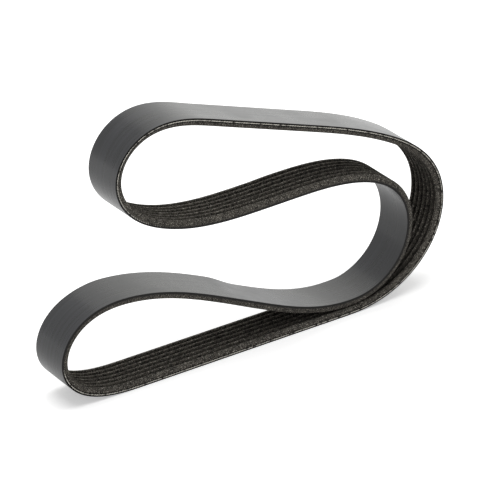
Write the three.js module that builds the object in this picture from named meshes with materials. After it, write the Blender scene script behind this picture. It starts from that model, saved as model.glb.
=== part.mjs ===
// Serpentine belt: one endless ribbed rubber belt, standing on its lower strand in a folded loop like a letter C.
// Millimetres and degrees, +Z up. +X runs along the strand on the floor and +Y across the belt.
// The origin is on the floor, in the middle of the belt's footprint.

import * as THREE from "three";

// The section: a smooth back with the ribs on the inside of the loop.
const ribCount = 7;
const ribPitch = 3.56;
const ribAngle = 40; // between the two flanks of a rib
const ribHeight = 2.2;
const grooveFloor = 0.7; // width of the flat between two ribs
const backing = 2; // from the smooth back to the floor of a groove

// The slopes of the four strands, as the belt goes round from the floor up the outer bend and back.
const topRunFall = 18; // towards the outer bend
const upperStrandRise = 1.5; // towards the inner bend
const lowerStrandFall = 24.5; // towards the inner bend

// Where the inner bend comes down over the floor strand, level and almost touching its ribs.
const strandGap = 1;
const closestAhead = 5.5; // past the point where the floor strand starts to lift
const closestRadius = 72;

const upperStrandLength = 14;

// A bend is a row of stretches. Each one turns the belt by its turn and ends at its radius, and in between the
// bend tightens or opens evenly. The stretch whose turn is REST takes what the others leave of the whole turn.
// The lean is how far the belt leans over, about its near back edge, where the stretch ends.
const REST = "rest";

// The outer bend's radii are multiples of its tightest one, because its size follows from what it goes round.
const outerBend = {
  lift: { turn: 5.5, radius: 1.85, lean: 0 },
  low: { turn: REST, radius: 1, lean: -1 },
  high: { turn: 43, radius: 4.5, lean: 0.5 },
  exit: { turn: 9, radius: Infinity, lean: 1.5 },
};

const upperNose = {
  entry: { turn: 38, radius: 33, lean: -2 },
  crown: { turn: REST, radius: 23, lean: -0.5 },
  exit: { turn: 65.5, radius: 80, lean: -0.5 },
  easing: { turn: 25.5, radius: Infinity, lean: 0 },
};

const innerBend = {
  entry: { turn: 15.5, radius: 84, lean: 1 },
  high: { turn: 36, radius: 31, lean: 0.5 },
  low: { turn: REST, radius: 37, lean: 2 },
  exit: { turn: 14.5, radius: closestRadius, lean: 1 },
};

const lowerStrandBend = {
  easing: { turn: REST, radius: Infinity, lean: 0.5 },
};

const lowerNose = {
  rise: { turn: 21.5, radius: 90, lean: -0.5 },
  entry: { turn: 25.5, radius: 35, lean: 1 },
  crown: { turn: REST, radius: 21, lean: -0.5 },
  exit: { turn: 58, radius: 64, lean: 0 },
  landing: { turn: 11.5, radius: Infinity, lean: 0 },
};

const topRunLean = 1.5;
const upperStrandLean = 1;
const lowerStrandLean = -3.5;
const floorRunLean = 0;

// How finely the loop is divided.
const chordSag = 0.14; // between a flat facet and the true bend
const longestStep = 12;

const thickness = backing + ribHeight;
const beltWidth = ribCount * ribPitch;
const toRadians = THREE.MathUtils.degToRad;

// Headings of the strands in the plane of the loop, counter-clockwise as seen from the near edge.
const floorHeading = toRadians(0);
const topRunHeading = toRadians(180 - topRunFall);
const upperStrandHeading = toRadians(360 + upperStrandRise);
const closestHeading = toRadians(180);
const lowerStrandHeading = toRadians(180 - lowerStrandFall);
const fullTurnHeading = toRadians(360);

// The stretches of one bend, from one heading to another, with the curvature that it starts at.
function bend(stretches, fromHeading, toHeading, startCurvature = 0) {
  const whole = toHeading - fromHeading;
  const side = Math.sign(whole);
  const parts = Object.values(stretches);
  const given = parts.filter((part) => part.turn !== REST);
  const rest = whole - side * given.reduce((sum, part) => sum + toRadians(part.turn), 0);
  let heading = fromHeading;
  let curvature = startCurvature;
  return parts.map((part) => {
    const turn = part.turn === REST ? rest : side * toRadians(part.turn);
    const endCurvature = side / part.radius;
    const length = (2 * turn) / (curvature + endCurvature);
    const stretch = { heading, length, startCurvature: curvature, endCurvature, lean: part.lean };
    heading += turn;
    curvature = endCurvature;
    return stretch;
  });
}

function straight(heading, length, lean) {
  return [{ heading, length, startCurvature: 0, endCurvature: 0, lean }];
}

function headingAt(stretch, distance) {
  const change = (stretch.endCurvature - stretch.startCurvature) / stretch.length;
  return stretch.heading + stretch.startCurvature * distance + (change * distance * distance) / 2;
}

function direction(heading) {
  return new THREE.Vector2(Math.cos(heading), Math.sin(heading));
}

// The way from one distance along a stretch to another, summed in short pieces by Simpson's rule.
function travel(stretch, from, to) {
  const pieces = 40;
  const piece = (to - from) / pieces;
  const way = new THREE.Vector2();
  for (let i = 0; i < pieces; i += 1) {
    const start = from + i * piece;
    way.addScaledVector(direction(headingAt(stretch, start)), piece / 6);
    way.addScaledVector(direction(headingAt(stretch, start + piece / 2)), (4 * piece) / 6);
    way.addScaledVector(direction(headingAt(stretch, start + piece)), piece / 6);
  }
  return way;
}

function reach(stretches) {
  return stretches.reduce((sum, stretch) => sum.add(travel(stretch, 0, stretch.length)), new THREE.Vector2());
}

function enlarged(stretches, factor) {
  return stretches.map((stretch) => ({
    ...stretch,
    length: stretch.length * factor,
    startCurvature: stretch.startCurvature / factor,
    endCurvature: stretch.endCurvature / factor,
  }));
}

// Joins runs into one lobe of the loop that ends at a given point. The tall run and the wide run, given at unit
// size, take the two sizes that make the ends meet there.
function lobe(runs, tall, wide, end) {
  const set = runs.filter((run) => run !== tall && run !== wide);
  const left = end.clone().sub(reach(set.flat()));
  const tallReach = reach(tall);
  const wideReach = reach(wide);
  const area = tallReach.cross(wideReach);
  const tallSize = left.cross(wideReach) / area;
  const wideSize = tallReach.cross(left) / area;
  return runs.flatMap((run) => {
    if (run === tall) return enlarged(run, tallSize);
    if (run === wide) return enlarged(run, wideSize);
    return run;
  });
}

// The upper lobe goes from where the floor strand lifts to where the inner bend comes closest to it.
function upperLobe(closest) {
  const outer = bend(outerBend, floorHeading, topRunHeading);
  const topRun = straight(topRunHeading, 1, topRunLean);
  const nose = bend(upperNose, topRunHeading, upperStrandHeading);
  const strand = straight(upperStrandHeading, upperStrandLength, upperStrandLean);
  const inner = bend(innerBend, upperStrandHeading, closestHeading);
  return lobe([outer, topRun, nose, strand, inner], outer, topRun, closest);
}

// The lower lobe goes on from there, round the lower nose and back along the floor.
function lowerLobe(closest) {
  const leaving = bend(lowerStrandBend, closestHeading, lowerStrandHeading, -1 / closestRadius);
  const strand = straight(lowerStrandHeading, 1, lowerStrandLean);
  const nose = bend(lowerNose, lowerStrandHeading, fullTurnHeading);
  const floorRun = straight(fullTurnHeading, 1, floorRunLean);
  return lobe([leaving, strand, nose, floorRun], strand, floorRun, closest.clone().negate());
}

// Places along the near back edge of the belt, closer together where the bend is tight.
function stations(route) {
  const places = [];
  const point = new THREE.Vector2();
  let lean = route[route.length - 1].lean;
  for (const stretch of route) {
    const sharpest = Math.max(Math.abs(stretch.startCurvature), Math.abs(stretch.endCurvature));
    const step = Math.min(longestStep, Math.sqrt((8 * chordSag) / sharpest));
    const count = Math.ceil(stretch.length / step);
    for (let i = 0; i < count; i += 1) {
      const from = (stretch.length * i) / count;
      const to = (stretch.length * (i + 1)) / count;
      const eased = THREE.MathUtils.smoothstep(i / count, 0, 1);
      places.push({
        point: point.clone(),
        heading: headingAt(stretch, from),
        lean: toRadians(THREE.MathUtils.lerp(lean, stretch.lean, eased)),
      });
      point.add(travel(stretch, from, to));
    }
    lean = stretch.lean;
  }
  return places;
}

// The section's outline: x across the belt from the near edge, y from the back towards the rib tips.
function sectionOutline() {
  const flankRun = ribHeight * Math.tan(toRadians(ribAngle / 2));
  const outline = [new THREE.Vector2(0, 0), new THREE.Vector2(beltWidth, 0)];
  for (let rib = ribCount - 1; rib >= 0; rib -= 1) {
    const farRoot = (rib + 1) * ribPitch - grooveFloor / 2;
    const nearRoot = rib * ribPitch + grooveFloor / 2;
    if (rib === ribCount - 1) outline.push(new THREE.Vector2(beltWidth, backing));
    outline.push(new THREE.Vector2(farRoot, backing));
    outline.push(new THREE.Vector2(farRoot - flankRun, thickness));
    outline.push(new THREE.Vector2(nearRoot + flankRun, thickness));
    outline.push(new THREE.Vector2(nearRoot, backing));
  }
  outline.push(new THREE.Vector2(0, backing));
  return outline;
}

// One closed skin: the section carried round the loop and joined to its own start.
function beltGeometry(places, outline) {
  const positions = [];
  for (const { point, heading, lean } of places) {
    const inward = new THREE.Vector3(-Math.sin(heading), 0, Math.cos(heading));
    const across = new THREE.Vector3(0, Math.cos(lean), 0).addScaledVector(inward, Math.sin(lean));
    const upRib = new THREE.Vector3(0, -Math.sin(lean), 0).addScaledVector(inward, Math.cos(lean));
    for (const corner of outline) {
      const vertex = new THREE.Vector3(point.x, 0, point.y);
      vertex.addScaledVector(across, corner.x).addScaledVector(upRib, corner.y);
      positions.push(vertex.x, vertex.y, vertex.z);
    }
  }
  const size = outline.length;
  const indices = [];
  for (let i = 0; i < places.length; i += 1) {
    const here = i * size;
    const next = ((i + 1) % places.length) * size;
    for (let j = 0; j < size; j += 1) {
      const k = (j + 1) % size;
      indices.push(here + j, here + k, next + k, here + j, next + k, next + j);
    }
  }
  const geometry = new THREE.BufferGeometry();
  geometry.setAttribute("position", new THREE.Float32BufferAttribute(positions, 3));
  geometry.setIndex(indices);
  geometry.computeVertexNormals();
  return geometry;
}

const closest = new THREE.Vector2(closestAhead, 2 * thickness + strandGap);
const route = [...upperLobe(closest), ...lowerLobe(closest)];
const geometry = beltGeometry(stations(route), sectionOutline());
geometry.computeBoundingBox();
const footprint = geometry.boundingBox.getCenter(new THREE.Vector3());
geometry.translate(-footprint.x, -footprint.y, 0);

const rubber = new THREE.MeshStandardMaterial({ color: 0x2e2d2b, roughness: 0.8, metalness: 0 });
const belt = new THREE.Mesh(geometry, rubber);
belt.name = "serpentine_belt";

const part = new THREE.Group();
part.add(belt);

export default part;
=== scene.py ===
"""A serpentine belt, standing on its lower strand in a folded loop like a letter C.

Everything is in metres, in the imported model's frame: +X runs along the strand on the floor, +Y across the
belt, and +Z up. The ribs are on the inside of the loop, and the smooth back is on its outside.
"""

import sys

import logging
import math
from abc import ABC, abstractmethod
from dataclasses import dataclass
from enum import Enum

import bpy
import numpy as np
from bpy.types import Material, Mesh, Node, NodeSocket, NodeTree, Object
from mathutils import Matrix, Vector


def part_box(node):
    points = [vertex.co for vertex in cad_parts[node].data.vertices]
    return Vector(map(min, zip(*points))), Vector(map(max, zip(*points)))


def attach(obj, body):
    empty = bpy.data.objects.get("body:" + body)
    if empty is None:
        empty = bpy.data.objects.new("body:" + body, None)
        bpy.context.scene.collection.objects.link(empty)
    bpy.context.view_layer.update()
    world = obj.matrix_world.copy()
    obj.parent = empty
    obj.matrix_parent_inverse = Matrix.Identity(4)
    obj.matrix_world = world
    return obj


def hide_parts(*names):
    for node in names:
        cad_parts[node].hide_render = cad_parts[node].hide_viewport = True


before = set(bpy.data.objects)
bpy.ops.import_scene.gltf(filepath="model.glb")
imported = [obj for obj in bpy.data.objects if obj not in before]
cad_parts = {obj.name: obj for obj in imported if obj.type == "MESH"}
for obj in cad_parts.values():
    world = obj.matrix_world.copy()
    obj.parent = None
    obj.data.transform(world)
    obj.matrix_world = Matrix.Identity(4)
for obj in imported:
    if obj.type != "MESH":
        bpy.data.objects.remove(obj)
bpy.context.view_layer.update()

MM = 0.001
NODE = "serpentine_belt"
REST = None  # the turn of a stretch that takes what the others of its bend leave
GAUSS_POINTS = 16  # enough for a stretch that turns by half a circle
LEAST_CURVATURE = 1e-9  # stands for that of a straight stretch, which has none to divide by
SOCKETS = {int: "NodeSocketInt", float: "NodeSocketFloat", Material: "NodeSocketMaterial"}

Value = bool | int | float | str | tuple | list | Material | NodeSocket | Node
Outputs = bpy.types.bpy_prop_collection

log = logging.getLogger("serpentine_belt")


def linear(colour: str) -> tuple[float, float, float, float]:
    """Turns an sRGB hex colour into the linear colour that a shader takes.

    Args:
        colour: six hex digits after a number sign.

    Returns:
        Red, green, blue and an alpha of 1.
    """
    steps = (int(colour[i : i + 2], 16) / 255 for i in (1, 3, 5))
    values = (s / 12.92 if s <= 0.04045 else ((s + 0.055) / 1.055) ** 2.4 for s in steps)
    return (*values, 1.0)


def add_node(
    tree: NodeTree, kind: str, inputs: dict[str | int, Value] | None = None, **settings: object
) -> Node:
    """Adds a node with its settings, and fills or links its inputs.

    A node that is given as a value feeds the input from its first output. A list feeds one input from each of
    its nodes in turn.

    Args:
        tree: the shader or geometry tree that takes the node.
        kind: Blender's name for the node's type.
        inputs: the value, or what feeds it, for each input by name or by number.
        **settings: the node's own properties.

    Returns:
        The new node.
    """
    node = tree.nodes.new(kind)
    for name, value in settings.items():
        setattr(node, name, value)
    for key, value in (inputs or {}).items():
        for source in value if isinstance(value, list) else [value]:
            if isinstance(source, Node):
                source = source.outputs[0]
            if isinstance(source, NodeSocket):
                tree.links.new(source, node.inputs[key])
            else:
                node.inputs[key].default_value = source
    return node


# The loop


@dataclass(frozen=True)
class Turn:
    """One stretch of a bend, as its maker writes it down.

    Attributes:
        degrees: how far the stretch turns the belt, or REST.
        radius: the radius that the stretch ends at, in metres or in tightest radii of the bend.
        lean: how far the belt leans over where the stretch ends, in degrees.
    """

    degrees: float | None
    radius: float
    lean: float


@dataclass(frozen=True)
class Stretch:
    """A length of the loop whose curvature changes evenly. Plane vectors are complex numbers, x and z."""

    heading: float
    length: float
    start_curvature: float
    end_curvature: float
    lean: float

    def way(self, start: float, end: float) -> complex:
        """Works out the way from one distance along the stretch to another.

        Args:
            start: distance from the stretch's start.
            end: the other distance.

        Returns:
            The plane vector between the two places.
        """
        places, weights = np.polynomial.legendre.leggauss(GAUSS_POINTS)
        distance = start + (end - start) * (places + 1) / 2
        change = (self.end_curvature - self.start_curvature) / self.length
        heading = self.heading + self.start_curvature * distance + change * distance**2 / 2
        return complex((end - start) / 2 * np.sum(weights * np.exp(1j * heading)))

    def enlarged(self, factor: float) -> "Stretch":
        """The same stretch, larger by a factor."""
        return Stretch(
            self.heading,
            self.length * factor,
            self.start_curvature / factor,
            self.end_curvature / factor,
            self.lean,
        )


@dataclass(frozen=True)
class Station:
    """A place on the near back edge of the belt: where, how far it leans, and how far round it is."""

    point: complex
    lean: float
    travelled: float


def cross(a: complex, b: complex) -> float:
    """The cross product of two plane vectors."""
    return (a.conjugate() * b).imag


def reach(run: list[Stretch]) -> complex:
    """The plane vector from the start of a run to its end."""
    return sum(stretch.way(0, stretch.length) for stretch in run)


def bend(turns: tuple[Turn, ...], start: float, end: float, curvature: float = 0.0) -> list[Stretch]:
    """Lays out the stretches of one bend.

    Args:
        turns: the bend's stretches in order.
        start: heading at the start, in degrees.
        end: heading at the end, in degrees.
        curvature: the curvature that the bend starts at.

    Returns:
        The stretches in order.
    """
    side = math.copysign(1, end - start)
    rest = abs(end - start) - sum(turn.degrees for turn in turns if turn.degrees is not REST)
    heading = math.radians(start)
    run = []
    for turn in turns:
        angle = side * math.radians(rest if turn.degrees is REST else turn.degrees)
        end_curvature = side / turn.radius
        length = 2 * angle / (curvature + end_curvature)
        run.append(Stretch(heading, length, curvature, end_curvature, math.radians(turn.lean)))
        heading += angle
        curvature = end_curvature
    return run


def straight(heading: float, length: float, lean: float) -> list[Stretch]:
    """A straight run, from its heading and lean in degrees."""
    return [Stretch(math.radians(heading), length, 0.0, 0.0, math.radians(lean))]


def lobe(runs: list[list[Stretch]], tall: int, wide: int, end: complex) -> list[Stretch]:
    """Joins runs into one lobe of the loop, and sizes two of them so that it ends where it has to.

    Args:
        runs: the lobe's runs in order, with the tall and the wide one at unit size.
        tall: number of the run whose size mostly sets the height.
        wide: number of the run whose size mostly sets the length.
        end: where the lobe ends, from its start.

    Returns:
        All the stretches of the lobe.
    """
    left = end - sum(reach(run) for i, run in enumerate(runs) if i not in (tall, wide))
    tall_reach = reach(runs[tall])
    wide_reach = reach(runs[wide])
    area = cross(tall_reach, wide_reach)
    sizes = {tall: cross(left, wide_reach) / area, wide: cross(tall_reach, left) / area}
    return [stretch.enlarged(sizes.get(i, 1.0)) for i, run in enumerate(runs) for stretch in run]


@dataclass(frozen=True)
class BeltLoop:
    """The line that the near back edge of the belt follows, from where the floor strand starts to lift.

    The outer bend's radii are multiples of its tightest one, because its size follows from what it goes
    round.
    """

    top_run_fall: float = 18.0
    upper_strand_rise: float = 1.5
    lower_strand_fall: float = 24.5
    strand_gap: float = 1.0 * MM
    closest_ahead: float = 5.5 * MM
    closest_radius: float = 72 * MM
    upper_strand_length: float = 14 * MM
    top_run_lean: float = 1.5
    upper_strand_lean: float = 1.0
    lower_strand_lean: float = -3.5
    outer_bend: tuple[Turn, ...] = (
        Turn(5.5, 1.85, 0),
        Turn(REST, 1, -1),
        Turn(43, 4.5, 0.5),
        Turn(9, math.inf, 1.5),
    )
    upper_nose: tuple[Turn, ...] = (
        Turn(38, 33 * MM, -2),
        Turn(REST, 23 * MM, -0.5),
        Turn(65.5, 80 * MM, -0.5),
        Turn(25.5, math.inf, 0),
    )
    inner_bend: tuple[Turn, ...] = (
        Turn(15.5, 84 * MM, 1),
        Turn(36, 31 * MM, 0.5),
        Turn(REST, 37 * MM, 2),
        Turn(14.5, 72 * MM, 1),
    )
    lower_nose: tuple[Turn, ...] = (
        Turn(21.5, 90 * MM, -0.5),
        Turn(25.5, 35 * MM, 1),
        Turn(REST, 21 * MM, -0.5),
        Turn(58, 64 * MM, 0),
        Turn(11.5, math.inf, 0),
    )
    chord_sag: float = 0.004 * MM
    longest_step: float = 4 * MM

    def stretches(self, thickness: float) -> list[Stretch]:
        """Lays out the whole loop.

        Args:
            thickness: the belt's thickness over the ribs.

        Returns:
            The stretches in order, once round.
        """
        top_run = 180 - self.top_run_fall
        upper_strand = 360 + self.upper_strand_rise
        lower_strand = 180 - self.lower_strand_fall
        closest = complex(self.closest_ahead, 2 * thickness + self.strand_gap)
        upper = [
            bend(self.outer_bend, 0, top_run),
            straight(top_run, 1.0, self.top_run_lean),
            bend(self.upper_nose, top_run, upper_strand),
            straight(upper_strand, self.upper_strand_length, self.upper_strand_lean),
            bend(self.inner_bend, upper_strand, 180),
        ]
        lower = [
            bend((Turn(REST, math.inf, 0.5),), 180, lower_strand, -1 / self.closest_radius),
            straight(lower_strand, 1.0, self.lower_strand_lean),
            bend(self.lower_nose, lower_strand, 360),
            straight(360, 1.0, 0.0),
        ]
        return lobe(upper, 0, 1, closest) + lobe(lower, 1, 3, -closest)

    def length(self, thickness: float) -> float:
        """Length of the smooth back's near edge, once round."""
        return sum(stretch.length for stretch in self.stretches(thickness))

    def stations(self, thickness: float) -> list[Station]:
        """Spaces places along the loop, closer together where the bend is tight.

        Args:
            thickness: the belt's thickness over the ribs.

        Returns:
            The stations in order, once round, without the first one again at the end.
        """
        places = []
        point = 0j
        travelled = 0.0
        lean = 0.0
        for stretch in self.stretches(thickness):
            sharpest = max(abs(stretch.start_curvature), abs(stretch.end_curvature), LEAST_CURVATURE)
            step = min(self.longest_step, math.sqrt(8 * self.chord_sag / sharpest))
            count = math.ceil(stretch.length / step)
            for i in range(count):
                share = i / count
                eased = share * share * (3 - 2 * share)
                leaning = lean + (stretch.lean - lean) * eased
                along = stretch.length * share
                places.append(Station(point + stretch.way(0, along), leaning, travelled + along))
            point += stretch.way(0, stretch.length)
            travelled += stretch.length
            lean = stretch.lean
        return places


# Finishes


class Finish(ABC):
    """What the finishes share: their patterns lie on the belt as it was cured, round its drum."""

    name: str

    @abstractmethod
    def draw(self, tree: NodeTree, place: NodeSocket) -> dict[str, Value]:
        """Draws the finish.

        Args:
            tree: the material's tree.
            place: gives the place on the drum.

        Returns:
            What the shader takes, by the names of its inputs.
        """

    def material(self) -> Material:
        """Makes the material.

        Returns:
            The material, under the finish's name.
        """
        material = bpy.data.materials.new(self.name)
        material.use_nodes = True
        tree = material.node_tree
        tree.nodes.clear()
        drum = add_node(tree, "ShaderNodeAttribute", attribute_name="on_drum")
        shader = add_node(tree, "ShaderNodeBsdfPrincipled", self.draw(tree, drum.outputs["Vector"]))
        add_node(tree, "ShaderNodeOutputMaterial", {"Surface": shader})
        return material


@dataclass(frozen=True)
class FibreRubber(Finish):
    """EPDM rubber filled with chopped cotton: worn and pitted in patches, with pale fibre ends.

    The fibres lie across the belt. Real ones are too thin to show in the render, so they are drawn coarser.
    A noise pattern seldom leaves the middle of its range, so the two spans say between which of its values
    a pit turns into worn rubber, and rubber into a fibre.

    Attributes:
        plain_depth: how far below the smooth back the rubber is still plain.
        full_depth: how far below it the patches and fibres show in full.
        relief: how far the patches and fibres stand up.
        fineness: how strongly the finest grain of the patterns shows.
    """

    plain_depth: float
    full_depth: float
    name: str
    plain_colour: str
    pit_colour: str
    worn_colour: str
    fibre_colour: str
    relief: float
    roughness: float
    specular_level: float
    fineness: float = 0.6
    patch_size: float = 1.6 * MM
    patch_detail: float = 4.0
    patch_span: tuple[float, float] = (0.34, 0.66)
    fibre_length: float = 0.9 * MM
    fibre_width: float = 0.45 * MM
    fibre_detail: float = 1.0
    fibre_span: tuple[float, float] = (0.59, 0.71)

    def draw(self, tree: NodeTree, place: NodeSocket) -> dict[str, Value]:
        """Draws the patches and the fibre ends, and the plain rubber nearer the back.

        Args:
            tree: the material's tree.
            place: gives the place on the drum.

        Returns:
            What the shader takes, by the names of its inputs.
        """
        squeeze = (1.0, 1.0, self.fibre_width / self.fibre_length)
        squeezed = add_node(tree, "ShaderNodeMapping", {"Vector": place, "Scale": squeeze})
        shares = []
        for vector, size, detail, (low, high) in (
            (place, self.patch_size, self.patch_detail, self.patch_span),
            (squeezed, self.fibre_width, self.fibre_detail, self.fibre_span),
        ):
            look = {"Vector": vector, "Scale": 1 / size, "Detail": detail, "Roughness": self.fineness}
            noise = add_node(tree, "ShaderNodeTexNoise", look)
            span = {"Value": noise, "From Min": low, "From Max": high}
            shares.append(add_node(tree, "ShaderNodeMapRange", span))
        worn, fibres = shares
        depth = add_node(tree, "ShaderNodeAttribute", attribute_name="depth").outputs["Fac"]
        fade = {"Value": depth, "From Min": self.plain_depth, "From Max": self.full_depth}
        below = add_node(tree, "ShaderNodeMapRange", fade)
        rubber = {0: worn, 6: linear(self.pit_colour), 7: linear(self.worn_colour)}
        worn_rubber = add_node(tree, "ShaderNodeMix", rubber, data_type="RGBA").outputs[2]
        speckles = {0: fibres, 6: worn_rubber, 7: linear(self.fibre_colour)}
        speckled = add_node(tree, "ShaderNodeMix", speckles, data_type="RGBA").outputs[2]
        layers = {0: below, 6: linear(self.plain_colour), 7: speckled}
        height = add_node(tree, "ShaderNodeMath", {0: worn, 1: fibres}, operation="ADD")
        return {
            "Base Color": add_node(tree, "ShaderNodeMix", layers, data_type="RGBA").outputs[2],
            "Roughness": self.roughness,
            "Normal": add_node(tree, "ShaderNodeBump", {"Height": height, "Distance": self.relief}),
            "Specular IOR Level": self.specular_level,
        }


@dataclass(frozen=True)
class GroundRibs(FibreRubber):
    """Fibre rubber that a stone has ground to the shape of the ribs: matt and dark.

    Its crests show the worn patches and pale fibre ends in full. Towards the groove floors the colour fades
    to plain near-black, which is painted shade in the grooves.
    """

    name: str = "ground_fibre_rubber"
    # plain near-black at the groove floors: painted shade in the grooves
    plain_colour: str = "#151413"
    pit_colour: str = "#1d1c1a"
    worn_colour: str = "#605c55"
    fibre_colour: str = "#b8b2a8"
    relief: float = 0.05 * MM
    roughness: float = 0.85
    specular_level: float = 0.08


@dataclass(frozen=True)
class CutEdge(FibreRubber):
    """The knife-cut edge, torn brown-grey fibre rubber; the edge rib's outer flank is drawn the same.

    The black cushion rubber next to the back is plain.
    """

    plain_depth: float = 0.91 * MM
    full_depth: float = 1.69 * MM
    name: str = "cut_fibre_rubber"
    plain_colour: str = "#232221"
    pit_colour: str = "#191715"
    worn_colour: str = "#5a564f"
    fibre_colour: str = "#d8d2c6"
    relief: float = 0.1 * MM
    roughness: float = 0.8
    specular_level: float = 0.25


@dataclass(frozen=True)
class SmoothBack(Finish):
    """EPDM rubber cured against a smooth sleeve: a satin skin with fine lines round the belt.

    Its corners are drawn darker and duller than the rest of the back. The lines and the larger clouds vary
    the roughness between its two values.
    """

    belt_width: float
    name: str = "smooth_epdm_back"
    colour: str = "#141517"
    line_colour: str = "#25262a"
    corner_colour: str = "#070707"
    roughness: tuple[float, float] = (0.23, 0.35)
    gloss_span: tuple[float, float] = (0.6, 1.4)
    corner_roughness: float = 0.9
    corner_width: float = 0.25 * MM
    corner_fade: float = 0.15 * MM
    line_spacing: float = 1.3 * MM
    line_length: float = 60 * MM
    line_depth: float = 0.035 * MM
    line_detail: float = 3.0
    line_span: tuple[float, float] = (0.35, 0.7)
    cloud_size: float = 14 * MM
    cloud_detail: float = 2.0

    def draw(self, tree: NodeTree, place: NodeSocket) -> dict[str, Value]:
        """Draws the lines and clouds, and the dragged corners.

        Args:
            tree: the material's tree.
            place: gives the place on the drum.

        Returns:
            What the shader takes, by the names of its inputs.
        """
        squeeze = self.line_spacing / self.line_length
        drawn_out = add_node(tree, "ShaderNodeMapping", {"Vector": place, "Scale": (squeeze, squeeze, 1.0)})
        lines, clouds = (
            add_node(tree, "ShaderNodeTexNoise", {"Vector": vector, "Scale": 1 / size, "Detail": detail})
            for vector, size, detail in (
                (drawn_out, self.line_spacing, self.line_detail),
                (place, self.cloud_size, self.cloud_detail),
            )
        )
        uneven = add_node(tree, "ShaderNodeMath", {0: lines, 1: clouds}, operation="ADD")
        across = add_node(tree, "ShaderNodeAttribute", attribute_name="across").outputs["Fac"]
        half = self.belt_width / 2
        offset = add_node(tree, "ShaderNodeMath", {0: across, 1: half}, operation="SUBTRACT")
        from_middle = add_node(tree, "ShaderNodeMath", {0: offset}, operation="ABSOLUTE")
        corner = half - self.corner_width
        lined, whole, gloss = (
            add_node(
                tree,
                "ShaderNodeMapRange",
                {"Value": value, "From Min": start, "From Max": end, "To Min": low, "To Max": high},
            )
            for value, (start, end), (low, high) in (
                (lines, self.line_span, (0.0, 1.0)),
                (from_middle, (corner, corner + self.corner_fade), (1.0, 0.0)),
                (uneven, self.gloss_span, self.roughness),
            )
        )
        satin = {0: lined, 6: linear(self.colour), 7: linear(self.line_colour)}
        skin = add_node(tree, "ShaderNodeMix", satin, data_type="RGBA").outputs[2]
        colours = {0: whole, 6: linear(self.corner_colour), 7: skin}
        dullness = {0: whole, 2: self.corner_roughness, 3: gloss}
        return {
            "Base Color": add_node(tree, "ShaderNodeMix", colours, data_type="RGBA").outputs[2],
            "Roughness": add_node(tree, "ShaderNodeMix", dullness, data_type="FLOAT"),
            "Normal": add_node(tree, "ShaderNodeBump", {"Height": lines, "Distance": self.line_depth}),
        }


@dataclass(frozen=True)
class CordYarn(Finish):
    """Polyester yarn, cut along its side: pale and dull, with rubber smeared over it in places."""

    name: str = "cut_polyester_cord"
    colour: str = "#efebe0"
    smeared_colour: str = "#3b3833"
    smear_length: float = 2.5 * MM
    smear_detail: float = 5.0
    clear_span: tuple[float, float] = (0.36, 0.5)
    roughness: float = 0.75

    def draw(self, tree: NodeTree, place: NodeSocket) -> dict[str, Value]:
        """Draws the smears.

        Args:
            tree: the material's tree.
            place: gives the place on the drum.

        Returns:
            What the shader takes, by the names of its inputs.
        """
        look = {"Vector": place, "Scale": 1 / self.smear_length, "Detail": self.smear_detail}
        smears = add_node(tree, "ShaderNodeTexNoise", look)
        low, high = self.clear_span
        clear = add_node(tree, "ShaderNodeMapRange", {"Value": smears, "From Min": low, "From Max": high})
        colours = {0: clear, 6: linear(self.smeared_colour), 7: linear(self.colour)}
        colour = add_node(tree, "ShaderNodeMix", colours, data_type="RGBA")
        return {"Base Color": colour.outputs[2], "Roughness": self.roughness}


@dataclass(frozen=True)
class PaintedSlotShadow(Finish):
    """Painted shadow: a near-black, dull sheet for the shade in the slot beside the bare cord."""

    name: str = "painted_slot_shadow"
    colour: str = "#070706"
    speck_colour: str = "#1c1b19"
    speck_size: float = 0.8 * MM
    speck_detail: float = 3.0
    roughness: float = 0.95
    specular_level: float = 0.1

    def draw(self, tree: NodeTree, place: NodeSocket) -> dict[str, Value]:
        """Draws the specks.

        Args:
            tree: the material's tree.
            place: gives the place on the drum.

        Returns:
            What the shader takes, by the names of its inputs.
        """
        look = {"Vector": place, "Scale": 1 / self.speck_size, "Detail": self.speck_detail}
        specks = add_node(tree, "ShaderNodeTexNoise", look)
        colours = {0: specks, 6: linear(self.colour), 7: linear(self.speck_colour)}
        return {
            "Base Color": add_node(tree, "ShaderNodeMix", colours, data_type="RGBA").outputs[2],
            "Roughness": self.roughness,
            "Specular IOR Level": self.specular_level,
        }


# The belt


@dataclass(frozen=True)
class RibbedSection:
    """The belt's section: a smooth back with the ribs on its other side."""

    rib_count: int = 7
    rib_pitch: float = 3.56 * MM
    rib_angle: float = 40.0
    rib_height: float = 2.2 * MM
    groove_floor: float = 0.7 * MM
    backing: float = 2.0 * MM
    crest_round: float = 0.28 * MM
    crest_facets: int = 3
    edge_round: float = 0.08 * MM
    edge_facets: int = 2

    @property
    def thickness(self) -> float:
        """From the smooth back to the crests of the ribs."""
        return self.backing + self.rib_height

    @property
    def width(self) -> float:
        """From one cut edge to the other."""
        return self.rib_count * self.rib_pitch

    @property
    def foot(self) -> float:
        """Width of a rib at its foot."""
        return self.rib_pitch - self.groove_floor

    @property
    def crest(self) -> float:
        """Width of a rib at its crest."""
        return self.foot - 2 * self.rib_height * math.tan(math.radians(self.rib_angle / 2))


def make_wire(points: list[tuple], edges: list[tuple], name: str, **attributes: list[float]) -> Mesh:
    """Makes a wire mesh that carries values at its points.

    Args:
        points: where the points are.
        edges: the pairs of points that are joined.
        name: the mesh's name.
        **attributes: a list of values for each attribute name, one value for each point.

    Returns:
        The new mesh.
    """
    mesh = bpy.data.meshes.new(name)
    mesh.from_pydata(points, edges, [])
    for label, values in attributes.items():
        mesh.attributes.new(label, "FLOAT", "POINT").data.foreach_set("value", values)
    return mesh


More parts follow.
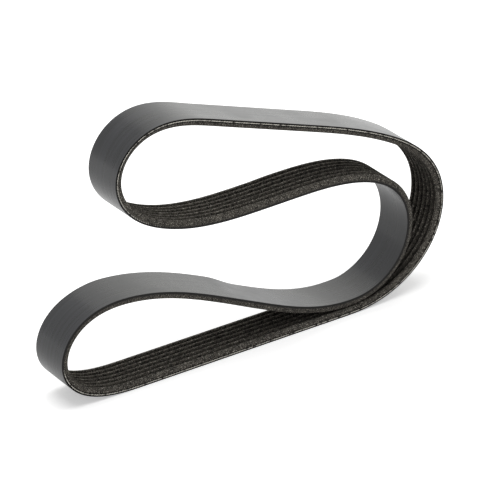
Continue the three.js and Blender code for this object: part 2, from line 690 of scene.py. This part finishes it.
def open_tree(name: str, values: dict[str, Value]) -> tuple[NodeTree, Outputs]:
    """Opens a geometry tree with its named inputs.

    Args:
        name: the tree's name.
        values: the value that each named input will be given, which says of what kind it is.

    Returns:
        The tree, and its inputs as the outputs of its input node.
    """
    tree = bpy.data.node_groups.new(name, "GeometryNodeTree")
    tree.interface.new_socket("Geometry", in_out="INPUT", socket_type="NodeSocketGeometry")
    tree.interface.new_socket("Geometry", in_out="OUTPUT", socket_type="NodeSocketGeometry")
    for label, value in values.items():
        tree.interface.new_socket(label, in_out="INPUT", socket_type=SOCKETS[type(value)])
    return tree, add_node(tree, "NodeGroupInput").outputs


def grow(mesh: Mesh, tree: NodeTree, values: dict[str, Value], name: str) -> Mesh:
    """Runs a geometry tree on a mesh, and gives the result as a plain mesh.

    Args:
        mesh: what goes into the tree.
        tree: the geometry tree.
        values: the value of each named input.
        name: the name of the result.

    Returns:
        The plain mesh that comes out.
    """
    carrier = bpy.data.objects.new(name + "_path", mesh)
    bpy.context.scene.collection.objects.link(carrier)
    modifier = carrier.modifiers.new("sweep", "NODES")
    modifier.node_group = tree
    for item in tree.interface.items_tree:
        if item.in_out == "INPUT" and item.name in values:
            modifier[item.identifier] = values[item.name]
    depsgraph = bpy.context.evaluated_depsgraph_get()
    result = bpy.data.meshes.new_from_object(carrier.evaluated_get(depsgraph), depsgraph=depsgraph)
    result.name = name
    carrier.modifiers.remove(modifier)
    bpy.data.objects.remove(carrier)
    return result


def across_belt(tree: NodeTree) -> Node:
    """Gives the direction across the belt at each point of a path, as the belt leans there.

    Args:
        tree: the geometry tree.

    Returns:
        The node that gives the direction.
    """
    turn = {
        "Vector": (0.0, 1.0, 0.0),
        "Axis": add_node(tree, "GeometryNodeInputTangent"),
        "Angle": add_node(tree, "GeometryNodeInputNamedAttribute", {"Name": "lean"}),
    }
    return add_node(tree, "ShaderNodeVectorRotate", turn, rotation_type="AXIS_ANGLE")


def keep_drum_place(tree: NodeTree, drum_radius: NodeSocket, skin: Node) -> Node:
    """Stores where each point lay when the belt was cured round its drum. The finishes read it.

    Args:
        tree: the geometry tree.
        drum_radius: the radius on which the belt's back closes on itself.
        skin: the node that gives the skin, with how far round, across and deep its points are.

    Returns:
        The node that gives the same skin, with the places stored.
    """
    travelled, across, depth = (
        add_node(tree, "GeometryNodeInputNamedAttribute", {"Name": name})
        for name in ("travelled", "across", "depth")
    )
    angle = add_node(tree, "ShaderNodeMath", {0: travelled, 1: drum_radius}, operation="DIVIDE")
    radius = add_node(tree, "ShaderNodeMath", {0: drum_radius, 1: depth}, operation="ADD")
    place = {"Z": across}
    for axis, operation in (("X", "COSINE"), ("Y", "SINE")):
        share = add_node(tree, "ShaderNodeMath", {0: angle}, operation=operation)
        place[axis] = add_node(tree, "ShaderNodeMath", {0: radius, 1: share}, operation="MULTIPLY")
    stored = {"Geometry": skin, "Name": "on_drum", "Value": add_node(tree, "ShaderNodeCombineXYZ", place)}
    return add_node(tree, "GeometryNodeStoreNamedAttribute", stored, data_type="FLOAT_VECTOR")


@dataclass(frozen=True)
class Belt:
    """The belt itself: one endless ribbed skin, carried round the loop by a geometry tree.

    Attributes:
        skin_deep: what lies less deep than this has the back's finish.
        corner_turn: past this many degrees a corner is shaded sharp.
        home_widths: belt widths from which the way home along the ribs is counted down. More than two put it
            after the way out along the back.
    """

    section: RibbedSection = RibbedSection()
    loop: BeltLoop = BeltLoop()
    skin_deep: float = 0.01 * MM
    corner_turn: float = 12.0
    home_widths: float = 3.0

    @property
    def drum_radius(self) -> float:
        """Radius of the round loop that the belt makes when nothing folds it."""
        return self.loop.length(self.section.thickness) / (2 * math.pi)

    def path(self) -> Mesh:
        """Makes the line that the section is carried round.

        Returns:
            The closed line, with its lean and how far round it is.
        """
        stations = self.loop.stations(self.section.thickness)
        count = len(stations)
        return make_wire(
            [(s.point.real, 0.0, s.point.imag) for s in stations],
            [(i, (i + 1) % count) for i in range(count)],
            "belt_path",
            lean=[s.lean for s in stations],
            travelled=[s.travelled for s in stations],
        )

    def draw_corners(self, tree: NodeTree, size: Outputs) -> Node:
        """Places the corners of the section: the backing's, and those of one rib repeated across it.

        Args:
            tree: the geometry tree.
            size: the tree's named inputs.

        Returns:
            The node that gives the corners as points, with x across the belt and y from its back inwards.
        """
        half_pitch, half_width, half_back = (
            add_node(tree, "ShaderNodeMath", {0: size[name], 1: 0.5}, operation="MULTIPLY")
            for name in ("Rib pitch", "Width", "Backing")
        )
        outline = {
            "Bottom Width": size["Rib foot"],
            "Top Width": size["Rib crest"],
            "Height": size["Rib height"],
            "Offset": 0.0,
        }
        rib = add_node(tree, "GeometryNodeCurvePrimitiveQuadrilateral", outline, mode="TRAPEZOID")
        first = add_node(tree, "ShaderNodeCombineXYZ", {"X": half_pitch, "Y": size["Rib middle"]})
        step = add_node(tree, "ShaderNodeCombineXYZ", {"X": size["Rib pitch"]})
        spacing = {"Count": size["Rib count"], "Start Location": first, "Offset": step}
        row = add_node(tree, "GeometryNodeMeshLine", spacing)
        ribs = add_node(tree, "GeometryNodeInstanceOnPoints", {"Points": row, "Instance": rib})
        backing = {"Width": size["Width"], "Height": size["Backing"]}
        band = add_node(tree, "GeometryNodeCurvePrimitiveQuadrilateral", backing, mode="RECTANGLE")
        middle = add_node(tree, "ShaderNodeCombineXYZ", {"X": half_width, "Y": half_back})
        parts = [
            add_node(tree, "GeometryNodeRealizeInstances", {"Geometry": ribs}),
            add_node(tree, "GeometryNodeTransform", {"Geometry": band, "Translation": middle}),
        ]
        both = add_node(tree, "GeometryNodeJoinGeometry", {"Geometry": parts})
        return add_node(tree, "GeometryNodeCurveToPoints", {"Curve": both}, mode="EVALUATED")

    def draw_section(self, tree: NodeTree, size: Outputs) -> Node:
        """Strings the corners on one closed line, out along the back and home along the ribs.

        The line's corners are then rounded.

        Args:
            tree: the geometry tree.
            size: the tree's named inputs.

        Returns:
            The node that gives the section, which knows how far across and how deep each point is.
        """
        corners = self.draw_corners(tree, size)
        place = add_node(tree, "ShaderNodeSeparateXYZ", {0: add_node(tree, "GeometryNodeInputPosition")})
        across, depth = place.outputs["X"], place.outputs["Y"]
        half_back = add_node(tree, "ShaderNodeMath", {0: size["Backing"], 1: 0.5}, operation="MULTIPLY")
        home = {0: size["Width"], 1: self.home_widths}
        farthest = add_node(tree, "ShaderNodeMath", home, operation="MULTIPLY")
        homeward = add_node(tree, "ShaderNodeMath", {0: farthest, 1: across}, operation="SUBTRACT")
        ribbed = add_node(tree, "ShaderNodeMath", {0: depth, 1: half_back}, operation="GREATER_THAN")
        crest = add_node(tree, "ShaderNodeMath", {0: depth, 1: size["Rib middle"]}, operation="GREATER_THAN")
        order, radius, facets = (
            add_node(tree, "GeometryNodeSwitch", {"Switch": test, "False": no, "True": yes}, input_type=kind)
            for test, no, yes, kind in (
                (ribbed, across, homeward, "FLOAT"),
                (crest, size["Edge round"], size["Crest round"], "FLOAT"),
                (crest, self.section.edge_facets, self.section.crest_facets, "INT"),
            )
        )
        strung = add_node(tree, "GeometryNodePointsToCurves", {"Points": corners, "Weight": order})
        closed = add_node(tree, "GeometryNodeSetSplineCyclic", {"Geometry": strung, "Cyclic": True})
        rounding = {"Curve": closed, "Count": facets, "Radius": radius, "Limit Radius": True}
        section = add_node(tree, "GeometryNodeFilletCurve", rounding, mode="POLY")
        for name, value in (("across", across), ("depth", depth)):
            stored = {"Geometry": section, "Name": name, "Value": value}
            section = add_node(tree, "GeometryNodeStoreNamedAttribute", stored)
        return section

    def finish_skin(self, tree: NodeTree, size: Outputs, skin: Node) -> Node:
        """Gives the skin its finishes: ribs all over, then the edges with their outer flanks, then the back.

        Args:
            tree: the geometry tree.
            size: the tree's named inputs.
            skin: the node that gives the swept skin.

        Returns:
            The node that gives the finished skin.
        """
        across, depth = (
            add_node(tree, "GeometryNodeInputNamedAttribute", {"Name": name}) for name in ("across", "depth")
        )
        half = add_node(tree, "ShaderNodeMath", {0: size["Width"], 1: 0.5}, operation="MULTIPLY")
        offset = add_node(tree, "ShaderNodeMath", {0: across, 1: half}, operation="SUBTRACT")
        from_middle = add_node(tree, "ShaderNodeMath", {0: offset}, operation="ABSOLUTE")
        inside = add_node(tree, "ShaderNodeMath", {0: half, 1: size["Outer flank"]}, operation="SUBTRACT")
        on_edge = add_node(tree, "ShaderNodeMath", {0: from_middle, 1: inside}, operation="GREATER_THAN")
        on_back = add_node(tree, "ShaderNodeMath", {0: depth, 1: size["Skin deep"]}, operation="LESS_THAN")
        turn = {0: add_node(tree, "GeometryNodeInputMeshEdgeAngle"), 1: size["Corner turn"]}
        corner = add_node(tree, "ShaderNodeMath", turn, operation="GREATER_THAN")
        whole = add_node(tree, "GeometryNodeRealizeInstances", {"Geometry": skin})
        smooth = add_node(tree, "GeometryNodeSetShadeSmooth", {"Geometry": whole})
        creases = {"Geometry": smooth, "Selection": corner, "Shade Smooth": False}
        finished = add_node(tree, "GeometryNodeSetShadeSmooth", creases, domain="EDGE")
        for name, selection in (("Rib finish", True), ("Edge finish", on_edge), ("Back finish", on_back)):
            dressed = {"Geometry": finished, "Selection": selection, "Material": size[name]}
            finished = add_node(tree, "GeometryNodeSetMaterial", dressed)
        return finished

    def sweep_tree(self, values: dict[str, Value]) -> NodeTree:
        """Builds the tree that carries the ribbed section round the path.

        Args:
            values: the value that each named input will be given.

        Returns:
            The geometry tree.
        """
        tree, size = open_tree("ribbed_belt_sweep", values)
        path = add_node(tree, "GeometryNodeMeshToCurve", {"Mesh": size["Geometry"]})
        guide = {"Curve": path, "Normal": across_belt(tree)}
        guided = add_node(tree, "GeometryNodeSetCurveNormal", guide, mode="FREE")
        sweep = {"Curve": guided, "Profile Curve": self.draw_section(tree, size)}
        skin = add_node(tree, "GeometryNodeCurveToMesh", sweep)
        placed = keep_drum_place(tree, size["Drum radius"], skin)
        add_node(tree, "NodeGroupOutput", {"Geometry": self.finish_skin(tree, size, placed)})
        return tree

    def build(self) -> Mesh:
        """Builds the belt's mesh, from where its floor strand lifts.

        Returns:
            The belt's mesh.
        """
        section = self.section
        values = {
            "Rib count": section.rib_count,
            "Rib pitch": section.rib_pitch,
            "Rib foot": section.foot,
            "Rib crest": section.crest,
            "Rib height": section.rib_height,
            "Rib middle": section.backing + section.rib_height / 2,
            "Width": section.width,
            "Backing": section.backing,
            "Crest round": section.crest_round,
            "Edge round": section.edge_round,
            "Outer flank": (section.rib_pitch - section.crest) / 2,
            "Skin deep": self.skin_deep,
            "Corner turn": math.radians(self.corner_turn),
            "Drum radius": self.drum_radius,
            "Back finish": SmoothBack(section.width).material(),
            # the rib finish fades from painted groove shade at the backing's depth to full speckle at the
            # crests
            "Rib finish": GroundRibs(section.backing, section.thickness).material(),
            "Edge finish": CutEdge().material(),
        }
        return grow(self.path(), self.sweep_tree(values), values, "ribbed_belt")


class Side(Enum):
    """The cut edge that a strand lies in. The value is the way the edge faces across the belt."""

    NEAR = -1.0
    FAR = 1.0


@dataclass(frozen=True)
class BareStrand:
    """The tension cord where the cut has laid it bare: two twisted plies on a bed of painted shadow.

    Attributes:
        name: the piece's name.
        side: the cut edge that it lies in.
        starts: how far round the belt it comes to the surface, from where the floor strand lifts.
        ends: how far round it is gone again.
        rises: the length on which it comes out.
        sinks: the length on which it sinks in.
        depth: how far below the smooth back it lies.
        ply_sides: how many sides a ply has.
        step: how far apart its rings of points are.
        bed_proud: how far the bed of painted shadow stands out of the cut edge.
    """

    name: str
    side: Side
    starts: float
    ends: float
    rises: float
    sinks: float
    depth: float = 1.1 * MM
    ply_radius: float = 0.17 * MM
    ply_sides: int = 6
    twist_radius: float = 0.14 * MM
    twist_pitch: float = 3.2 * MM
    step: float = 0.36 * MM
    bed_width: float = 1.6 * MM
    bed_thickness: float = 0.2 * MM
    bed_proud: float = 0.03 * MM

    def path(self, belt: Belt) -> Mesh:
        """Makes the line of the belt's near back edge along the bare stretch.

        Args:
            belt: the belt that the strand is in.

        Returns:
            The open line, with its lean, how far round it is, and how much the strand is out.
        """
        stations = belt.loop.stations(belt.section.thickness)
        once_round = belt.loop.length(belt.section.thickness)
        laps = [(s, s.travelled + lap * once_round) for lap in (0, 1) for s in stations]
        bare = [(s, travelled) for s, travelled in laps if self.starts <= travelled <= self.ends]
        shares = [((t - self.starts) / self.rises, (self.ends - t) / self.sinks) for _, t in bare]
        return make_wire(
            [(s.point.real, 0.0, s.point.imag) for s, _ in bare],
            [(i, i + 1) for i in range(len(bare) - 1)],
            self.name + "_path",
            lean=[s.lean for s, _ in bare],
            travelled=[travelled for _, travelled in bare],
            out=[min(1.0, *share) for share in shares],
        )

    def lay_line(self, tree: NodeTree, size: Outputs) -> Node:
        """Lays the line of the strand on the cut edge, and lets it run into the belt at its ends.

        Args:
            tree: the geometry tree.
            size: the tree's named inputs.

        Returns:
            The node that gives the line, guided across the belt.
        """
        path = add_node(tree, "GeometryNodeMeshToCurve", {"Mesh": size["Geometry"]})
        spacing = {"Curve": path, "Length": size["Step"]}
        fine = add_node(tree, "GeometryNodeResampleCurve", spacing, mode="LENGTH")
        sideways = across_belt(tree)
        tangent = add_node(tree, "GeometryNodeInputTangent")
        inward = add_node(tree, "ShaderNodeVectorMath", {0: tangent, 1: sideways}, operation="CROSS_PRODUCT")
        out = add_node(tree, "GeometryNodeInputNamedAttribute", {"Name": "out"})
        hidden = add_node(tree, "ShaderNodeMath", {0: 1.0, 1: out}, operation="SUBTRACT")
        sinking = add_node(tree, "ShaderNodeMath", {0: hidden, 1: size["Sunk"]}, operation="MULTIPLY")
        aside = add_node(tree, "ShaderNodeMath", {0: size["Edge"], 1: sinking}, operation="ADD")
        moved_across, moved_in = (
            add_node(tree, "ShaderNodeVectorMath", {0: way, "Scale": amount}, operation="SCALE")
            for way, amount in ((sideways, aside), (inward, size["Depth"]))
        )
        offset = add_node(tree, "ShaderNodeVectorMath", {0: moved_across, 1: moved_in}, operation="ADD")
        placed = add_node(tree, "GeometryNodeSetPosition", {"Geometry": fine, "Offset": offset})
        guide = {"Curve": placed, "Normal": sideways}
        return add_node(tree, "GeometryNodeSetCurveNormal", guide, mode="FREE")

    def twist_plies(self, tree: NodeTree, size: Outputs, line: Node) -> Node:
        """Twists two plies together along a line.

        Args:
            tree: the geometry tree.
            size: the tree's named inputs.
            line: the node that gives the line.

        Returns:
            The node that gives the two plies.
        """
        travelled = add_node(tree, "GeometryNodeInputNamedAttribute", {"Name": "travelled"})
        turns = add_node(tree, "ShaderNodeMath", {0: travelled, 1: size["Twist pitch"]}, operation="DIVIDE")
        angle = add_node(tree, "ShaderNodeMath", {0: turns, 1: 2 * math.pi}, operation="MULTIPLY")
        twisted = add_node(tree, "GeometryNodeSetCurveTilt", {"Curve": line, "Tilt": angle})
        outline = {"Resolution": self.ply_sides, "Radius": size["Ply radius"]}
        ply = add_node(tree, "GeometryNodeCurvePrimitiveCircle", outline)
        pair = []
        for side in (1.0, -1.0):
            away = {0: size["Twist radius"], 1: side}
            shift = add_node(tree, "ShaderNodeMath", away, operation="MULTIPLY")
            beside = add_node(tree, "ShaderNodeCombineXYZ", {"X": shift})
            pair.append(add_node(tree, "GeometryNodeTransform", {"Geometry": ply, "Translation": beside}))
        both = add_node(tree, "GeometryNodeJoinGeometry", {"Geometry": pair})
        sweep = {"Curve": twisted, "Profile Curve": both, "Fill Caps": True}
        plies = add_node(tree, "GeometryNodeCurveToMesh", sweep)
        smooth = add_node(tree, "GeometryNodeSetShadeSmooth", {"Geometry": plies})
        dressed = {"Geometry": smooth, "Material": size["Yarn finish"]}
        return add_node(tree, "GeometryNodeSetMaterial", dressed)

    def sweep_tree(self, values: dict[str, Value]) -> NodeTree:
        """Builds the tree that lays the plies and their bed along the path.

        Args:
            values: the value that each named input will be given.

        Returns:
            The geometry tree.
        """
        tree, size = open_tree("twisted_strand_sweep", values)
        line = self.lay_line(tree, size)
        outline = {"Width": size["Bed thickness"], "Height": size["Bed width"]}
        slab = add_node(tree, "GeometryNodeCurvePrimitiveQuadrilateral", outline, mode="RECTANGLE")
        beside = add_node(tree, "ShaderNodeCombineXYZ", {"X": size["Bed middle"]})
        section = add_node(tree, "GeometryNodeTransform", {"Geometry": slab, "Translation": beside})
        sweep = {"Curve": line, "Profile Curve": section, "Fill Caps": True}
        bed = add_node(tree, "GeometryNodeCurveToMesh", sweep)
        # the bed's near-black finish is painted shadow, for the shade in the slot beside the cord
        slot_shadow = add_node(tree, "GeometryNodeSetMaterial", {"Geometry": bed, "Material": size["Slot shadow finish"]})
        parts = [self.twist_plies(tree, size, line), slot_shadow]
        strand = add_node(tree, "GeometryNodeJoinGeometry", {"Geometry": parts})
        for name, value in (("across", size["Edge"]), ("depth", size["Depth"])):
            stored = {"Geometry": strand, "Name": name, "Value": value}
            strand = add_node(tree, "GeometryNodeStoreNamedAttribute", stored)
        patterned = keep_drum_place(tree, size["Drum radius"], strand)
        whole = add_node(tree, "GeometryNodeRealizeInstances", {"Geometry": patterned})
        add_node(tree, "NodeGroupOutput", {"Geometry": whole})
        return tree

    def build(self, belt: Belt, yarn: Material, slot_shadow: Material) -> Mesh:
        """Builds the strand's mesh, from where the belt's floor strand lifts.

        Args:
            belt: the belt that the strand is in.
            yarn: the finish of its plies.
            slot_shadow: the finish of its bed, which paints the shadow in the slot beside the cord.

        Returns:
            The strand's mesh.
        """
        outward = self.side.value
        values = {
            "Edge": belt.section.width if self.side is Side.FAR else 0.0,
            "Sunk": -outward * (self.ply_radius + self.twist_radius),
            "Depth": self.depth,
            "Ply radius": self.ply_radius,
            "Twist radius": self.twist_radius,
            "Twist pitch": self.twist_pitch,
            "Step": self.step,
            "Bed width": self.bed_width,
            "Bed thickness": self.bed_thickness,
            "Bed middle": outward * (self.bed_proud - self.bed_thickness / 2),
            "Drum radius": belt.drum_radius,
            "Yarn finish": yarn,
            "Slot shadow finish": slot_shadow,
        }
        return grow(self.path(belt), self.sweep_tree(values), values, self.name)


# The studio


@dataclass(frozen=True)
class PhotoCamera:
    """A long lens that looks down on the belt from its near edge, from the left of its middle."""

    turned: float = 34.84
    raised: float = 27.58
    distance: float = 1.595
    aim: tuple[float, float, float] = (0.02006, 0.03456, 0.03743)
    lens: float = 221.7
    sensor_width: float = 36.0

    def build(self) -> None:
        """Sets the camera up and makes it the scene's own."""
        turned, raised = math.radians(self.turned), math.radians(self.raised)
        right = Vector((math.cos(turned), -math.sin(turned), 0.0))
        level = math.cos(raised)
        ahead = Vector((math.sin(turned) * level, math.cos(turned) * level, -math.sin(raised)))
        data = bpy.data.cameras.new("photo_camera")
        data.lens = self.lens
        data.sensor_width = self.sensor_width
        camera = bpy.data.objects.new("photo_camera", data)
        axes = Matrix((right, right.cross(ahead), -ahead)).transposed()
        camera.matrix_world = Matrix.Translation(Vector(self.aim) - self.distance * ahead) @ axes.to_4x4()
        bpy.context.scene.collection.objects.link(camera)
        bpy.context.scene.camera = camera


@dataclass(frozen=True)
class Softbox:
    """A large even light that faces the belt.

    Attributes:
        name: the lamp's name.
        place: where its middle is.
        width: its level side.
        height: its other side.
        brightness: how bright its face is, where 1 is white.
        tint: its colour, as linear red, green and blue.
        aim_height: how high above the floor it aims.
    """

    name: str
    place: tuple[float, float, float]
    width: float
    height: float
    brightness: float
    tint: tuple[float, float, float] = (1.0, 1.0, 1.0)
    aim_height: float = 0.07

    def build(self) -> None:
        """Hangs the lamp."""
        data = bpy.data.lights.new(self.name, "AREA")
        data.shape = "RECTANGLE"
        data.size = self.width
        data.size_y = self.height
        data.energy = self.brightness * math.pi * self.width * self.height
        data.color = self.tint
        lamp = bpy.data.objects.new(self.name, data)
        lamp.location = self.place
        aim = Vector((0.0, 0.0, self.aim_height)) - lamp.location
        lamp.rotation_euler = aim.to_track_quat("-Z", "Y").to_euler()
        bpy.context.scene.collection.objects.link(lamp)


@dataclass(frozen=True)
class Studio:
    """A white floor in a white room, with one softbox overhead and one behind the belt, to the right.

    Attributes:
        floor_drop: keeps the floor out of the plane of the belt's underside.
        floor_colour: the floor as it gives light back to the belt.
        seen_floor_colour: the floor as it is seen, straight or mirrored.
        floor_glow: brightness that is added to the seen floor near the belt.
        far_glow: the same far away from it.
        camera_lift: what is added besides where the floor is seen straight, to make it white.
        near_reach: how far from the belt's middle the glow starts to change.
        far_reach: how far from there it ends to change.
        room_level: how bright the room is where it lights the belt.
    """

    floor_size: float = 8.0
    floor_drop: float = 0.03 * MM
    floor_colour: str = "#d0d0d0"
    seen_floor_colour: str = "#ffffff"
    floor_glow: float = 0.15
    far_glow: float = 1.0
    camera_lift: float = 0.26
    near_reach: float = 0.25
    far_reach: float = 1.2
    room_level: float = 0.38
    overhead: Softbox = Softbox("overhead_softbox", (-0.1, 0.0, 1.25), 1.1, 1.1, 3.0)
    rear: Softbox = Softbox("rear_softbox", (0.5, 0.72, 0.5), 1.0, 0.9, 0.55, (1.0, 1.0, 0.92))

    def seen_rays(self, tree: NodeTree) -> Node:
        """Tells the rays that show the background, straight, in a reflection or through a clear thing.

        Args:
            tree: a material's or the world's tree.

        Returns:
            The node that gives 1 for those rays and 0 for the rest.
        """
        rays = add_node(tree, "ShaderNodeLightPath").outputs
        mirrored = {0: rays["Is Glossy Ray"], 1: rays["Is Transmission Ray"]}
        seen = {0: rays["Is Camera Ray"], 1: add_node(tree, "ShaderNodeMath", mirrored, operation="MAXIMUM")}
        return add_node(tree, "ShaderNodeMath", seen, operation="MAXIMUM")

    def floor(self) -> None:
        """Lays the floor, which keeps the belt's shadow and is white where it is seen unshaded."""
        half = self.floor_size / 2
        corners = ((-half, -half), (half, -half), (half, half), (-half, half))
        mesh = bpy.data.meshes.new("studio_floor")
        mesh.from_pydata([(x, y, -self.floor_drop) for x, y in corners], [], [(0, 1, 2, 3)])
        material = bpy.data.materials.new("white_studio_floor")
        material.use_nodes = True
        tree = material.node_tree
        tree.nodes.clear()
        place = add_node(tree, "ShaderNodeTexCoord").outputs["Object"]
        span = {
            "Value": add_node(tree, "ShaderNodeVectorMath", {0: place}, operation="LENGTH").outputs["Value"],
            "From Min": self.near_reach,
            "From Max": self.far_reach,
            "To Min": self.floor_glow,
            "To Max": self.far_glow,
        }
        reached = add_node(tree, "ShaderNodeMapRange", span)
        seen = self.seen_rays(tree)
        mirrored = add_node(tree, "ShaderNodeMath", {0: seen, 1: reached}, operation="MULTIPLY")
        straight = add_node(tree, "ShaderNodeLightPath").outputs["Is Camera Ray"]
        lift = {0: straight, 1: self.camera_lift, 2: mirrored}
        glow = add_node(tree, "ShaderNodeMath", lift, operation="MULTIPLY_ADD")
        colours = {0: seen, 6: linear(self.floor_colour), 7: linear(self.seen_floor_colour)}
        colour = add_node(tree, "ShaderNodeMix", colours, data_type="RGBA").outputs[2]
        shaders = {
            0: add_node(tree, "ShaderNodeBsdfDiffuse", {"Color": colour}),
            1: add_node(tree, "ShaderNodeEmission", {"Strength": glow}),
        }
        lit = add_node(tree, "ShaderNodeAddShader", shaders)
        add_node(tree, "ShaderNodeOutputMaterial", {"Surface": lit})
        mesh.materials.append(material)
        floor = bpy.data.objects.new("studio_floor", mesh)
        bpy.context.scene.collection.objects.link(floor)

    def room(self) -> None:
        """Lights the scene evenly from all round, and is white where it is seen past the floor."""
        world = bpy.data.worlds.new("white_room")
        world.use_nodes = True
        tree = world.node_tree
        tree.nodes.clear()
        span = {"Value": self.seen_rays(tree), "To Min": self.room_level, "To Max": 1.0}
        light = {"Color": linear("#ffffff"), "Strength": add_node(tree, "ShaderNodeMapRange", span)}
        background = add_node(tree, "ShaderNodeBackground", light)
        add_node(tree, "ShaderNodeOutputWorld", {"Surface": background})
        bpy.context.scene.world = world

    def build(self) -> None:
        """Builds the floor, the room and the lamps."""
        self.floor()
        self.room()
        self.overhead.build()
        self.rear.build()


def put_in_place(mesh: Mesh, shift: Vector) -> Object:
    """Makes a mesh a piece of the belt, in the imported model's frame.

    Args:
        mesh: the mesh, from where the floor strand lifts.
        shift: where the floor strand lifts.

    Returns:
        The piece.
    """
    mesh.transform(Matrix.Translation(shift))
    piece = bpy.data.objects.new(mesh.name, mesh)
    bpy.context.scene.collection.objects.link(piece)
    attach(piece, "root")
    log.info("%s: %d faces", piece.name, len(mesh.polygons))
    return piece


def main() -> None:
    """Builds the belt and its studio, and reports each piece."""
    logging.basicConfig(level=logging.INFO, format="%(name)s: %(message)s", stream=sys.stdout)
    bpy.context.scene.view_settings.view_transform = "Standard"
    PhotoCamera().build()

    belt = Belt()
    skin = belt.build()
    corners = np.array([vertex.co for vertex in skin.vertices])
    low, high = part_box(NODE)
    shift = (low + high) / 2 - Vector((corners.min(0) + corners.max(0)) / 2)
    shift.z = 0.0
    piece = put_in_place(skin, shift)
    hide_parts(NODE)
    near = {"starts": 841 * MM, "ends": 1439 * MM, "rises": 6 * MM, "sinks": 60 * MM}
    far = {"starts": 380 * MM, "ends": 900 * MM, "rises": 20 * MM, "sinks": 40 * MM}
    yarn = CordYarn().material()
    # near-black finish that paints the shadow in the slot beside each bare cord
    slot_shadow = PaintedSlotShadow().material()
    for strand in (
        BareStrand("bare_strand_near", Side.NEAR, **near),
        BareStrand("bare_strand_far", Side.FAR, **far),
    ):
        put_in_place(strand.build(belt, yarn, slot_shadow), shift)
    Studio().build()


if __name__ == "__main__":
    main()
